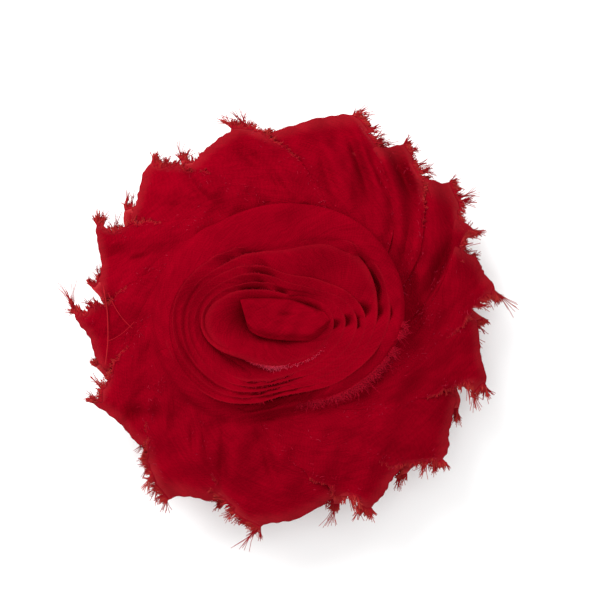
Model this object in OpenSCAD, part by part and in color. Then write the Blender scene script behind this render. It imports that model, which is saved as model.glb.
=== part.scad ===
// Flower hair clip: a frayed chiffon flower, sewn on a disc of net, backed with felt
// and glued to the lined jaw of a sprung alligator clip.
// Frame: +Z is up through the flower, +X runs along the clip towards the finger tails.
// The flower's axis is the Z axis and the clip's flat moving jaw lies on z = 0.

/* [Flower] */
// Mean reach of the frayed petal corners from the flower's axis
corner_r = 34; // [31:0.5:37]
// How far the notches between the petals lie inside the mean corner reach
notch_depth = 5.2; // [3:0.2:6]
// Height of the flower above the net
flower_h = 10.4; // [9:0.2:12]
// Turns of the rosette strip
rosette_turns = 6; // [3:1:6]
// Long half axis of the rosette's rim
rosette_a = 19.4; // [18:0.2:20]
// Short half axis of the rosette's rim
rosette_b = 17.2; // [16:0.2:19]
// Thickness that one gathered layer of chiffon takes up
layer_t = 0.7; // [0.5:0.1:0.9]

/* [Backing] */
// Diameter of the net disc that the rows are sewn to
net_d = 39; // [36:0.5:40]
// Diameter of the felt disc
felt_d = 35; // [30:0.5:36]
// Thickness of the felt
felt_t = 1.2; // [1:0.1:1.6]
// Stitches that show round the edge of the net
stitch_count = 28; // [16:1:36]

/* [Clip] */
// Length of the clip, tip to tail
clip_l = 46; // [44:0.5:48]
// Width of the lined jaw
clip_w = 9; // [8.5:0.1:10]
// Sheet thickness of both jaws
sheet_t = 0.7; // [0.6:0.05:0.8]
// Height of the lined jaw's underside
jaw_z = 4.3; // [4.2:0.1:4.8]
// Rise of the lined jaw's finger tail, in degrees
tail_rise = 22; // [18:1:22]
// Width of the ribbon that lines the jaw
ribbon_w = 9.5; // [9:0.1:10]
// Thickness of the ribbon
ribbon_t = 0.4; // [0.3:0.05:0.5]
// Radius of the hinge pin
pin_r = 0.75; // [0.7:0.05:0.8]
// Turns of the torsion spring
spring_turns = 5; // [3:1:5]
// Radius of the spring wire
wire_r = 0.25; // [0.2:0.01:0.28]

/* [Hidden] */
$fn = 48;

// Clip, along X
tip_x = -19;
tail_x = tip_x + clip_l;
hinge_x = tip_x + 31;
hinge_z = 2.5;
bend_x = felt_d / 2 + 0.5;
tail_slope = tan(tail_rise);
ear_t = sheet_t;
ear_half_l = 3.6;
ear_r = 2.1;
ear_play = 0.2;
jaw_corner_r = 2.6;
pin_hole_r = pin_r + 0.05;
pin_head_r = pin_r + 0.6;
pin_head_t = 0.45;

// Moving jaw, a channel with toothed walls
channel_w = clip_w - 2 * ear_t - 2 * ear_play;
wall_top_z = 3.0;
lining_gap = 0.2;
tooth_pitch = 1.6;
teeth = 6;
tail_flat_x = hinge_x + 5;
groove_r = 0.6;
groove_depth = 0.2;

// Torsion spring
leg_play = 0.05;
coil_r = hinge_z - sheet_t - wire_r - leg_play;
coil_half_w = 2.2;
leg_l = 7.5;
coil_step = 22.5;
wire_sides = 8;

// Stack of the backing, from the ribbon up
ribbon_end_x = hinge_x - 5;
ribbon_tuck = 5;
ribbon_top_z = jaw_z + sheet_t + ribbon_t;
glue_t = 0.3;
felt_z = ribbon_top_z + glue_t;
glue_pad_d = 26;
glue_pad_t = 0.4;
net_z = felt_z + felt_t + glue_pad_t;
net_t = 0.3;
net_top_z = net_z + net_t;
stitch_r = 0.2;
stitch_l = 3;
stitch_ring_r = (net_d + felt_d) / 4;

// Flower. Each petal is [direction of its frayed corner in degrees, reach beyond the mean].
petals = [[73, 1.4], [59, -0.3], [45, -0.4], [33, 0.8], [12, 0.8], [-18, 0], [-44, -0.2],
          [-65, -0.8], [-95, 0.4], [-124, 1], [-157, -0.6], [-183, 0.4], [-209, 1],
          [-229, -1], [-252, -2]];
fray_deg = 6;
bulge_in = 2.9;
rosette_top_z = net_top_z + flower_h;
rosette_base_r = 11;
rosette_core_base_r = 3;
rosette_core_top_r = 4.4;
rosette_dip = 2.6;
rosette_centre = [-0.8, 1.4];
row_gap = 0.4;

// A flat shape drawn in X and Z, given a thickness w along Y about y = 0
module across(w) {
    translate([0, w / 2, 0]) rotate([90, 0, 0]) linear_extrude(w) children();
}

// Both of a mirrored pair, on the two sides of y = 0
module both_sides() {
    for (side = [0, 1]) mirror([0, side, 0]) children();
}

// A plate seen from above, from x0 to x1, with corners of radius r
module rounded_plan(x0, x1, w, r) {
    translate([x0 + r, -w / 2]) square([x1 - x0 - 2 * r, w]);
    translate([x0, -w / 2 + r]) square([x1 - x0, w - 2 * r]);
    for (x = [x0 + r, x1 - r], y = [-w / 2 + r, w / 2 - r]) translate([x, y]) circle(r);
}

// The lined jaw's side view, grown by d on its outer faces: flat, then rising to the tail
function jaw_top(d) = [[tip_x - d, jaw_z + sheet_t + d],
                       [bend_x, jaw_z + sheet_t + d],
                       [tail_x + d, jaw_z + sheet_t + d + (tail_x + d - bend_x) * tail_slope]];
function jaw_under(d) = [[tail_x + d, jaw_z - d + (tail_x + d - bend_x) * tail_slope],
                         [bend_x, jaw_z - d],
                         [tip_x - d, jaw_z - d]];

module fixed_jaw() {
    color("silver") difference() {
        union() {
            intersection() {
                across(clip_w) polygon(concat(jaw_top(0), jaw_under(0)));
                linear_extrude(4 * jaw_z) rounded_plan(tip_x, tail_x, clip_w, jaw_corner_r);
            }
            both_sides() translate([0, clip_w / 2 - ear_t / 2, 0]) across(ear_t) fixed_ear();
        }
        translate([hinge_x, 0, hinge_z]) rotate([90, 0, 0])
            cylinder(h = 2 * clip_w, r = pin_hole_r, center = true);
    }
}

// Side view of one ear, hanging from the plate and rounded below the pin
module fixed_ear() {
    translate([hinge_x, hinge_z]) circle(ear_r);
    polygon([[hinge_x - ear_half_l, jaw_z + sheet_t / 2],
             [hinge_x + ear_half_l, jaw_z + sheet_t / 2],
             [hinge_x + ear_r, hinge_z],
             [hinge_x - ear_r, hinge_z]]);
}

module moving_jaw() {
    color("silver") difference() {
        union() {
            linear_extrude(sheet_t) rounded_plan(tip_x, tail_x - 0.5, channel_w, jaw_corner_r);
            linear_extrude(sheet_t) rounded_plan(tail_flat_x, tail_x - 0.5, clip_w, jaw_corner_r);
            both_sides() translate([0, channel_w / 2 - sheet_t / 2, 0]) across(sheet_t) channel_wall();
        }
        translate([hinge_x, 0, hinge_z]) rotate([90, 0, 0])
            cylinder(h = 2 * clip_w, r = pin_hole_r, center = true);
        for (i = [0:3]) translate([tail_flat_x + 3.2 + 1.7 * i, 0, groove_depth - groove_r])
            rotate([90, 0, 0]) cylinder(h = 2 * clip_w, r = groove_r, center = true);
    }
}

// Side view of one wall: low along the jaw, with teeth at the tip and an eye for the pin
module channel_wall() {
    eye_r = pin_r + 0.8;
    front_x = tip_x + jaw_corner_r;
    tooth_h = jaw_z - ribbon_t - lining_gap - wall_top_z;
    translate([hinge_x, hinge_z]) circle(eye_r);
    polygon([[front_x, 0], [hinge_x + ear_half_l, 0], [hinge_x + eye_r, hinge_z],
             [hinge_x, wall_top_z], [front_x, wall_top_z]]);
    for (i = [0:teeth - 1]) translate([front_x + tooth_pitch * i, wall_top_z - 0.1])
        polygon([[0, 0], [tooth_pitch, 0], [0.35 * tooth_pitch, tooth_h + 0.1]]);
}

module hinge_pin() {
    color("gainsboro") translate([hinge_x, 0, hinge_z]) rotate([90, 0, 0]) {
        cylinder(h = clip_w + 2 * pin_head_t, r = pin_r, center = true);
        for (side = [-1, 1]) translate([0, 0, side * (clip_w + pin_head_t) / 2])
            cylinder(h = pin_head_t, r = pin_head_r, center = true);
    }
}

// Faces round a sweep of n rings of m points. A loop joins its last ring to its first.
function side_faces(n, m, loop) = [for (i = [0:n - (loop ? 1 : 2)], k = [0:m - 1])
    let (next = (i + 1) % n, turn = (k + 1) % m)
    [i * m + k, i * m + turn, next * m + turn, next * m + k]];
function end_faces(n, m) = [[for (k = [m - 1:-1:0]) k], [for (k = [0:m - 1]) (n - 1) * m + k]];

// A round wire swept along points that wind about the Y direction
module wire(points, r, sides) {
    n = len(points);
    function along(i) = points[min(i + 1, n - 1)] - points[max(i - 1, 0)];
    function unit(v) = v / norm(v);
    rings = [for (i = [0:n - 1])
        let (t = unit(along(i)), u = unit(cross(t, [0, 1, 0])), v = cross(t, u))
        for (k = [0:sides - 1])
            let (a = 360 * k / sides) points[i] + r * (cos(a) * u + sin(a) * v)];
    polyhedron(rings, concat(side_faces(n, sides, false), end_faces(n, sides)));
}

// The coil runs round the pin, with one leg under the lined jaw and one on the moving jaw
module torsion_spring() {
    turn_deg = 360 * spring_turns - 180;
    steps = turn_deg / coil_step;
    coil = [for (i = [0:steps])
        let (a = 90 + i * coil_step, share = i / steps)
        [hinge_x + coil_r * cos(a), coil_half_w * (2 * share - 1), hinge_z + coil_r * sin(a)]];
    leg = [leg_l, 0, 0];
    color("dimgray") wire(concat([coil[0] + leg], coil, [coil[steps] + leg]), wire_r, wire_sides);
}

// One length of ribbon: under the jaw, round its tip, over the top and round the tail
module ribbon_lining() {
    tuck_x = tail_x - ribbon_tuck;
    inner_edge = concat([[ribbon_end_x, jaw_z]], [jaw_under(0)[2]], jaw_top(0), [jaw_under(0)[0]],
                        [[tuck_x, jaw_z + (tuck_x - bend_x) * tail_slope]]);
    outer_edge = concat([[tuck_x, jaw_z - ribbon_t + (tuck_x - bend_x) * tail_slope]],
                        [jaw_under(ribbon_t)[0]],
                        [for (i = [2:-1:0]) jaw_top(ribbon_t)[i]],
                        [jaw_under(ribbon_t)[2]],
                        [[ribbon_end_x, jaw_z - ribbon_t]]);
    color("firebrick") across(ribbon_w) polygon(concat(inner_edge, outer_edge));
}

module glue_strip() {
    color("ivory") translate([0, 0, ribbon_top_z]) linear_extrude(glue_t)
        rounded_plan(1 - felt_d / 2, felt_d / 2 - 1.5, clip_w - 1.6, 2);
}

module felt_backing() {
    color("darkred") translate([0, 0, felt_z]) cylinder(h = felt_t, d = felt_d);
}

module glue_pad() {
    color("ivory") translate([0, 0, felt_z + felt_t]) cylinder(h = glue_pad_t, d = glue_pad_d);
}

module net_backing() {
    color("firebrick") translate([0, 0, net_z]) cylinder(h = net_t, d = net_d);
}

// The last ring of stitches, on the back of the net between its edge and the felt
module row_stitches() {
    color("darkred") for (i = [0:stitch_count - 1]) rotate([0, 0, 360 * i / stitch_count])
        translate([stitch_ring_r, 0, net_z - stitch_r]) rotate([90, 0, 0])
            cylinder(h = stitch_l, r = stitch_r, center = true);
}

// Four stations round each petal: its corner, the foot of its frayed side, and its smooth bulge
function next_deg(i) = i + 1 < len(petals) ? petals[i + 1][0] : petals[0][0] - 360;
function stations() = [for (i = [0:len(petals) - 1])
    let (a = petals[i][0], reach = corner_r + petals[i][1],
         foot = min(fray_deg, (a - next_deg(i)) / 3), rest = a - foot - next_deg(i))
    each [[a, reach],
          [a - foot, corner_r - notch_depth],
          [a - foot - rest / 3, corner_r - bulge_in - 0.6],
          [a - foot - 2 * rest / 3, corner_r - bulge_in]]];

// A closed frill that follows the stations. Each point of its profile is [r, share, z]: start on the
// rosette's ellipse at radius r, then go that share of the way out to the frayed rim.
module frill(profile, shrink) {
    around = stations();
    points = [for (s = around, p = profile)
        let (c = cos(s[0]), d = sin(s[0]),
             inner = p[0] * [c, d * rosette_b / rosette_a],
             rim = (s[1] - shrink) * [c, d],
             at = inner + p[1] * (rim - inner))
        [at[0], at[1], p[2]]];
    polyhedron(points, side_faces(len(around), len(profile), true));
}

// The lowest row. It lifts clear of the clip's tail.
module under_ruffle() {
    z = net_top_z;
    color("firebrick") frill([[13.5, 0, z], [13.5, 0.3, z + 0.1], [13.5, 1, z + 3.3],
                              [13.5, 1, z + 3.7], [13.5, 0.3, z + 0.8], [13.5, 0, z + 0.7]], 2);
}

// The pleated row of petals, which swells up to the rosette's rim and thins to its frayed edge
module outer_ruffle() {
    z = net_top_z;
    color("crimson") frill([[14.2, 0, z + 1.1], [14.2, 0.3, z + 1.3], [14.2, 1, z + 4.9],
                            [14.2, 1, z + 5.4], [19, 0.5, z + 7.9], [20.6, 0, z + 8.2],
                            [17.4, 0, z + 4.6]], 0);
}

// One strip wound inwards. It leans out most at the rim and stands nearly upright at the core.
module rosette_strip() {
    steps = 26 * rosette_turns;
    half_t = layer_t / 2;
    knee_share = 0.36;
    knee_rise = 0.55;
    function mix(a, b, f) = a + f * (b - a);
    // The strip's outline at share f of its length. Each corner is [r, z, lean off the axis].
    function section(f) =
        let (a = 20 - 360 * rosette_turns * f,
             foot = mix(rosette_base_r, rosette_core_base_r, f),
             lip = mix(rosette_a, rosette_core_top_r, f),
             lip_z = rosette_top_z - rosette_dip * f,
             knee = mix(foot, lip, knee_share),
             knee_z = mix(net_top_z, lip_z, knee_rise))
        [for (p = [[foot - half_t, net_top_z, 0], [foot + half_t, net_top_z, 0],
                   [knee + half_t, knee_z, 0.5], [lip + half_t, lip_z, 1],
                   [lip - half_t, lip_z, 1], [knee - half_t, knee_z, 0.5]])
            let (off = p[2] * (1 - f) * rosette_centre)
            [p[0] * cos(a) + off[0], p[0] * sin(a) * rosette_b / rosette_a + off[1], p[1]]];
    points = [for (i = [0:steps]) each section(i / steps)];
    n = steps + 1;
    m = 6;
    color("crimson") polyhedron(points, concat(side_faces(n, m, false), end_faces(n, m)));
}

module centre_bud() {
    z = net_top_z;
    color("red") rotate_extrude() polygon([[0, z], [1.5, z], [1.9, z + 3], [2.1, z + 5.5],
                                           [1.6, z + 7.4], [0.6, z + 8.1], [0, z + 8.1]]);
}

fixed_jaw();
moving_jaw();
hinge_pin();
torsion_spring();
ribbon_lining();
glue_strip();
felt_backing();
glue_pad();
net_backing();
row_stitches();
under_ruffle();
outer_ruffle();
rosette_strip();
centre_bud();
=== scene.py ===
"""Looks of the flower hair clip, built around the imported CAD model.

Shapes are worked out in millimetres in the part's own frame and turned into metres when a mesh is made.
Angles are in degrees, anticlockwise from +X as seen from above.
"""
import math

import bpy
import numpy as np
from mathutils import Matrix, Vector


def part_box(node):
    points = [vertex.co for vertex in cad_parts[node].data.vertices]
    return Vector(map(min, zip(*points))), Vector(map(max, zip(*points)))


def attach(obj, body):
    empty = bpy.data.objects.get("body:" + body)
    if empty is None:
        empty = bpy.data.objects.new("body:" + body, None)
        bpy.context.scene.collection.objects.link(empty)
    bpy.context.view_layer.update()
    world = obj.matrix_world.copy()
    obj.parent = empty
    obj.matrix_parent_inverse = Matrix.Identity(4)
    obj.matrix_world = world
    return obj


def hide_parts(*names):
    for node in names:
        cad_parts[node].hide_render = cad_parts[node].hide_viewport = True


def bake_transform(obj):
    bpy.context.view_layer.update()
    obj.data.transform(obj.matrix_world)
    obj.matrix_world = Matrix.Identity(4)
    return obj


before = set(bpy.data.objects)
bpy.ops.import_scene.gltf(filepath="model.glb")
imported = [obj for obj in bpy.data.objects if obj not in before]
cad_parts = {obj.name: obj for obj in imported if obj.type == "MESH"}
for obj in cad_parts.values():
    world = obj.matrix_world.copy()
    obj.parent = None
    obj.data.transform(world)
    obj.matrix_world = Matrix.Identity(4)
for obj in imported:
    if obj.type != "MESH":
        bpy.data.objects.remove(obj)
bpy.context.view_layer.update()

MM = 0.001
RNG = np.random.default_rng(11)  # how loose threads stray, so their order in this script matters


# -------------------- small maths

def smooth(low, high, x):
    """0 below low, 1 above high, and an S-curve between."""
    t = np.clip((np.asarray(x, float) - low) / (high - low), 0, 1)
    return t * t * (3 - 2 * t)


def mix(a, b, t):
    return a + (b - a) * t


def ripple(x, y, size, seed, waves=7):
    """Smooth noise between about -1 and 1 whose bumps are about size across."""
    rng = np.random.default_rng(seed)
    total = 0
    for _ in range(waves):
        turn = rng.uniform(0, 2 * math.pi)
        k = 2 * math.pi / (size * rng.uniform(0.7, 1.8))
        total = total + np.sin(k * (x * math.cos(turn) + y * math.sin(turn)) + rng.uniform(0, 6.28))
    return total / math.sqrt(waves) / 1.2


def unit(v):
    return v / np.maximum(np.linalg.norm(v, axis=-1, keepdims=True), 1e-9)


def polar(r, deg, z):
    a = np.radians(deg)
    return np.stack(np.broadcast_arrays(r * np.cos(a), r * np.sin(a), z), -1)


def arc_length(line):
    """Distance along a line of points, as a column."""
    return np.concatenate([[0], np.cumsum(np.linalg.norm(np.diff(line, axis=0), axis=1))])[:, None]


# -------------------- meshes

ASKEW = np.array([0.31, 0.2, 0.93])      # a direction that no tube runs along
ALONG = np.linspace(0, 1, 4)             # the points of a loose thread, from its root to its tip
# Radius of each kind of thread at its root and at its tip
FRAY_R, FLUFF_R, LIP_R = (0.078, 0.045), (0.03, 0.03), (0.03, 0.018)
RIM_R, FUZZ_R = (0.034, 0.02), (0.02, 0.012)


class Piece:
    """Collects grids and tubes of points, in millimetres, into one mesh."""

    def __init__(self):
        self.points, self.faces, self.cloth, self.painted_light, self.count = [], [], [], [], 0

    def grid(self, points, cloth=None, painted_light=0.0, wrap=False):
        """A sheet through a grid of points. cloth gives each point's place on the flat cloth."""
        n, m = points.shape[:2]
        index = np.arange(n * m).reshape(n, m) + self.count
        if wrap:
            index = np.hstack([index, index[:, :1]])
        a, b, c, d = index[:-1, :-1], index[1:, :-1], index[1:, 1:], index[:-1, 1:]
        self.faces.append(np.stack([a, b, c, d], -1).reshape(-1, 4))
        self.points.append(points.reshape(-1, 3))
        self.cloth.append(np.zeros((n * m, 2)) if cloth is None else cloth.reshape(-1, 2))
        self.painted_light.append(np.broadcast_to(painted_light, (n, m)).reshape(-1))
        self.count += n * m

    def tubes(self, paths, radius, sides=3, painted_light=0.0):
        """One tube along each of paths, an array of (tubes, points along, 3). They taper if radius has a
        value for each point along."""
        t, p = paths.shape[:2]
        along = unit(np.gradient(paths, axis=1))
        aside = unit(np.cross(along, ASKEW))
        up = np.cross(along, aside)
        turn = np.arange(sides) * 2 * math.pi / sides
        r = np.broadcast_to(radius, (t, p))[..., None, None]
        ring = aside[:, :, None] * np.cos(turn)[:, None] + up[:, :, None] * np.sin(turn)[:, None]
        points = paths[:, :, None] + r * ring
        index = np.arange(t * p * sides).reshape(t, p, sides) + self.count
        nxt = np.roll(index, -1, 2)
        self.faces.append(np.stack([index[:, :-1], index[:, 1:], nxt[:, 1:], nxt[:, :-1]], -1).reshape(-1, 4))
        self.points.append(points.reshape(-1, 3))
        self.cloth.append(np.zeros((t * p * sides, 2)))
        self.painted_light.append(np.broadcast_to(np.broadcast_to(painted_light, (t, p))[..., None], (t, p, sides)).reshape(-1))
        self.count += t * p * sides

    def build(self, name, material, body="root", slot=None, replaces=()):
        """The object made of all that was collected, attached to its body's empty, with the CAD parts it
        replaces hidden.
        """
        points, faces = np.concatenate(self.points) * MM, np.concatenate(self.faces)
        mesh = bpy.data.meshes.new(name)
        mesh.vertices.add(len(points))
        mesh.vertices.foreach_set("co", points.astype(np.float32).ravel())
        mesh.loops.add(faces.size)
        mesh.loops.foreach_set("vertex_index", faces.astype(np.int32).ravel())
        mesh.polygons.add(len(faces))
        mesh.polygons.foreach_set("loop_start", np.arange(0, faces.size, 4, dtype=np.int32))
        mesh.polygons.foreach_set("use_smooth", np.ones(len(faces), bool))
        mesh.update(calc_edges=True)
        uv = mesh.uv_layers.new(name="cloth")
        uv.data.foreach_set("uv", np.concatenate(self.cloth)[faces.ravel()].astype(np.float32).ravel())
        # painted_light: how far each point's colour is lifted towards a lighter sheer colour, painted light
        # standing in for light coming through single layers of cloth and for glints on thread tips
        painted_light = mesh.attributes.new("painted_light", "FLOAT", "POINT")
        painted_light.data.foreach_set("value", np.concatenate(self.painted_light).astype(np.float32))
        mesh.materials.append(material)
        obj = bpy.data.objects.new(name, mesh)
        bpy.context.scene.collection.objects.link(obj)
        if body:
            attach(obj, body)
        if replaces:
            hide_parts(*replaces)
        return obj


def fibres(roots, heading, length, spread, droop=0.25, curl=0.35):
    """Paths of loose threads: each leaves its root along heading, strays by spread, then curls and droops."""
    n = len(roots)
    heading = unit(heading + RNG.normal(0, 1, (n, 3)) * np.reshape(spread, (-1, 1)) * [1, 1, 0.6])
    bend = np.cross(heading, RNG.normal(0, 1, (n, 3))) * curl
    bend[:, 2] -= droop
    t = ALONG[None, :, None]
    length = np.reshape(length, (-1, 1, 1))
    return roots[:, None] + length * (heading[:, None] * t + bend[:, None] * t * t)


# -------------------- materials

class Nodes:
    """Short ways to add and link the nodes of one material."""

    def __init__(self, tree):
        self.tree = tree

    def put(self, node, inputs):
        """Give a node its inputs, each of which is another node's output or a plain value."""
        for key, value in inputs.items():
            if isinstance(value, bpy.types.NodeSocket):
                self.tree.links.new(value, node.inputs[key])
            else:
                node.inputs[key].default_value = value

    def add(self, kind, inputs=None, **settings):
        node = self.tree.nodes.new("ShaderNode" + kind)
        for key, value in settings.items():
            setattr(node, key, value)
        self.put(node, inputs or {})
        return node

    def maths(self, operation, a, b=0.0):
        return self.add("Math", {0: a, 1: b}, operation=operation).outputs[0]

    def stretch(self, where, factors):
        return self.add("VectorMath", {0: where, 1: factors}, operation="MULTIPLY").outputs[0]

    def noise(self, where, scale, detail=3.0, roughness=0.55):
        return self.add("TexNoise", {"Vector": where, "Scale": scale, "Detail": detail,
                                     "Roughness": roughness}).outputs["Fac"]

    def blend(self, factor, a, b):
        """From colour a to colour b, each red, green and blue or another node's output."""
        a, b = (c if isinstance(c, bpy.types.NodeSocket) else (*c, 1) for c in (a, b))
        return self.add("Mix", {0: factor, 6: a, 7: b}, data_type="RGBA").outputs[2]

    def fit(self, value, low, high, to_low, to_high):
        return self.add("MapRange", {"Value": value, "From Min": low, "From Max": high,
                                     "To Min": to_low, "To Max": to_high}).outputs[0]

    def bump(self, height, distance, strength):
        return self.add("Bump", {"Height": height, "Distance": distance, "Strength": strength}).outputs[0]

    def place(self):
        return self.add("TexCoord").outputs["Object"]

    def painted_light(self):
        """The mesh's painted_light attribute: 1 where the colour is lifted fully to the lighter sheer colour,
        as painted light where a single layer shows or at a thread's tip.
        """
        return self.add("Attribute", attribute_name="painted_light").outputs["Fac"]


def new_material(name):
    material = bpy.data.materials.new(name)
    material.use_nodes = True
    return material, Nodes(material.node_tree), material.node_tree.nodes["Principled BSDF"]


def cloth_material(name, dark, light, pitch, glow=0.0, relief=0.045, crinkle=0.28):
    """Fine plain-woven cloth. Its threads follow the mesh's cloth coordinates, pitch millimetres apart. Where
    the mesh's painted_light attribute is set it turns towards the lighter PAINTED_SHEER_LIGHT colour, painted
    light standing in for light coming through a single layer. glow is the share of light that comes through
    it, and relief and crinkle are the heights of the weave and of the small creases."""
    material, n, shader = new_material(name)
    cloth = n.add("UVMap", uv_map="cloth").outputs[0]
    where = n.place()
    stray = n.add("TexNoise", {"Vector": cloth, "Scale": 0.7, "Detail": 2.0}).outputs["Color"]
    pulled = n.add("VectorMath", {0: stray, "Scale": 1.1}, operation="SCALE").outputs[0]
    threads = n.add("VectorMath", {0: cloth, 1: pulled}, operation="ADD").outputs[0]
    axes = n.add("SeparateXYZ", {0: threads})
    ridge = [n.maths("SINE", n.maths("MULTIPLY", axes.outputs[i], 2 * math.pi / pitch)) for i in (0, 1)]
    weave = n.maths("ADD", n.maths("MULTIPLY", ridge[0], 0.65), n.maths("MULTIPLY", ridge[1], 0.35))
    slubs = n.noise(n.stretch(threads, (0.35, 3.4, 1)), 1.0, 4.0)
    blotch = n.noise(where, 160.0, 4.0)
    uneven = n.maths("ADD", slubs, n.maths("MULTIPLY", blotch, 0.9))
    tone = n.maths("ADD", n.maths("MULTIPLY", weave, 0.12), uneven)
    body = n.blend(n.fit(tone, 0.6, 1.3, 0.0, 1.0), dark, light)
    # Painted light: lighter towards PAINTED_SHEER_LIGHT where a single layer shows
    colour = n.blend(n.painted_light(), body, PAINTED_SHEER_LIGHT)
    folds = n.noise(where, 900.0, 5.0, 0.6)
    creases = n.maths("ADD", n.maths("MULTIPLY", slubs, 0.30), n.maths("MULTIPLY", folds, crinkle))
    lift = n.maths("ADD", n.maths("MULTIPLY", weave, relief), creases)
    n.put(shader, {"Base Color": colour, "Normal": n.bump(lift, 0.00045, 0.6), "Roughness": 0.78,
                   "Specular IOR Level": 0.0, "Sheen Weight": 0.08, "Sheen Roughness": 0.4,
                   "Sheen Tint": (0.9, 0.02, 0.06, 1)})
    if glow:
        through = n.add("BsdfTranslucent", {"Color": colour}).outputs[0]
        both = n.add("MixShader", {0: glow, 1: shader.outputs[0], 2: through}).outputs[0]
        n.put(n.tree.nodes["Material Output"], {"Surface": both})
    return material


def thread_material(name, dark, light, painted_sheer):
    """Threads, which differ from each other and lighten to painted_sheer at their tips: painted light for
    light coming through them, or painted glints.
    """
    material, n, shader = new_material(name)
    where = n.place()
    body = n.blend(n.noise(where, 1500.0, 2.0), dark, light)
    n.put(shader, {"Base Color": n.blend(n.painted_light(), body, painted_sheer), "Specular IOR Level": 0.02,
                   "Roughness": n.fit(n.noise(where, 700.0), 0.3, 0.7, 0.6, 0.85)})
    return material


def metal_material(name, colour, roughness, scratch):
    """Nickel plate with fine scratches along X, small dull patches and a faint warm tarnish."""
    material, n, shader = new_material(name)
    where = n.place()
    grain = n.noise(n.stretch(where, (400, 9000, 9000)), 1.0, 4.0)
    patches = n.noise(where, 260.0, 4.0)
    dull = tuple(c * f for c, f in zip(colour, (0.86, 0.83, 0.78)))
    rough = n.fit(n.maths("ADD", grain, patches), 0.6, 1.4, roughness - 0.08, roughness + 0.16)
    n.put(shader, {"Base Color": n.blend(n.fit(patches, 0.35, 0.7, 0.0, 1.0), colour, dull),
                   "Roughness": rough, "Metallic": 1.0, "Normal": n.bump(grain, 0.00004, scratch)})
    return material


def glue_material(name, clear, milky):
    material, n, shader = new_material(name)
    cloud = n.noise(n.place(), 500.0, 4.0)
    n.put(shader, {"Base Color": n.blend(cloud, clear, milky), "Roughness": n.fit(cloud, 0.3, 0.7, 0.25, 0.5),
                   "Normal": n.bump(cloud, 0.0002, 0.5)})
    return material


# Painted light: the lighter colour that single layers and some thread tips are lifted to, standing in for
# light coming through them
PAINTED_SHEER_LIGHT = (0.46, 0.035, 0.04)
FELT_DARK, FELT_LIGHT = (0.16, 0.001, 0.004), (0.27, 0.002, 0.008)
CHIFFON = cloth_material("chiffon", (0.21, 0.0002, 0.0064), (0.325, 0.0003, 0.0101), 0.42, glow=0.36)
# The last colour of each thread material is painted light at the thread tips: orange for FRAY, as light
# through the threads, and pink for PALE_GLINT_FRAY, as painted glints
FRAY = thread_material("fray_threads", (0.19, 0.0004, 0.006), (0.285, 0.0008, 0.010), (0.50, 0.05, 0.038))
PALE_GLINT_FRAY = thread_material("pale_threads_painted_glints", (0.25, 0.0004, 0.008), (0.36, 0.0008, 0.013),
                             (0.62, 0.06, 0.12))
FELT = cloth_material("felt", FELT_DARK, FELT_LIGHT, 0.23, relief=0.02, crinkle=1.0)
GROSGRAIN = cloth_material("grosgrain", (0.24, 0.001, 0.007), (0.38, 0.002, 0.013), 0.24, relief=0.2,
                           crinkle=0.1)
FELT_FUZZ = thread_material("felt_fuzz", FELT_DARK, FELT_LIGHT, PAINTED_SHEER_LIGHT)
THREAD = thread_material("sewing_thread", (0.2, 0.001, 0.006), (0.34, 0.004, 0.014), PAINTED_SHEER_LIGHT)
NET = thread_material("net_strands", (0.2, 0.001, 0.006), (0.3, 0.002, 0.01), PAINTED_SHEER_LIGHT)
STEEL = metal_material("clip_nickel", (0.5, 0.49, 0.47), 0.24, 0.6)
PIN_STEEL = metal_material("pin_nickel", (0.46, 0.45, 0.43), 0.22, 0.3)
WIRE_STEEL = metal_material("spring_wire", (0.36, 0.35, 0.34), 0.28, 0.2)
GLUE = glue_material("hot_melt", (0.62, 0.52, 0.34), (0.86, 0.8, 0.66))


# -------------------- where things are, from the CAD

def box_mm(node):
    low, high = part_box(node)
    return np.array(low) / MM, np.array(high) / MM


PIN_LOW, PIN_HIGH = box_mm("hinge_pin")
HINGE = (PIN_LOW + PIN_HIGH) / 2
NET_LOW, NET_HIGH = box_mm("net_backing")
FELT_LOW, FELT_HIGH = box_mm("felt_backing")
NET_TOP, TOP = NET_HIGH[2], box_mm("rosette_strip")[1][2]
NET_R = (NET_HIGH[0] - NET_LOW[0]) / 2
FELT_R = (FELT_HIGH[0] - FELT_LOW[0]) / 2


# -------------------- petals

CORNER_R = 33.0                  # mean reach of the cloth at a petal's corner
# One line per petal, going clockwise: where its frayed corner points, its reach beyond the mean, how far its
# raw side sweeps round on the way in, how that side leaves the corner (2 straight in, 1 mostly sideways),
# the pleats in the petal and how deep they are.
PETALS = [
    (72, 1.8, 46, 0.9, 2.5, 0.6), (56, 1.0, 48, 0.9, 2.0, 0.8), (40, 1.6, 54, 0.8, 1.5, 0.6),
    (28, 0.6, 40, 1.1, 1.0, 0.4), (10, 0.9, 42, 1.2, 1.2, 0.2), (-18, 0.3, 44, 1.8, 0.8, 0.2),
    (-42, 0.2, 44, 1.0, 0.9, 0.25), (-66, -0.3, 40, 1.2, 1.1, 0.3), (-99, 0.0, 44, 0.85, 1.6, 0.35),
    (-124, 1.0, 42, 0.8, 1.8, 0.4), (-157, 0.4, 42, 1.5, 1.2, 0.3), (-182, 0.9, 42, 2.0, 1.0, 0.25),
    (-207, 1.0, 40, 1.9, 1.2, 0.25), (-229, 0.2, 38, 1.2, 1.3, 0.35), (-256, -0.9, 40, 0.9, 2.0, 0.4)]
FOLD_OVER = 4                    # this petal's folded side lies on top of its neighbour
NOTCH_R = 27.0                   # where a petal's smooth side comes out from under its neighbour
PETAL_INNER_R = 16.0
PETAL_MIDDLE_R = 26.0
PETAL_OUTER_R = 34.0
FOOT_ROWS = 4                    # rows of points from a petal's foot on the net up to its top layer
CLOTH_STEP = 40                  # so that no two petals have the same part of the weave
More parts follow.
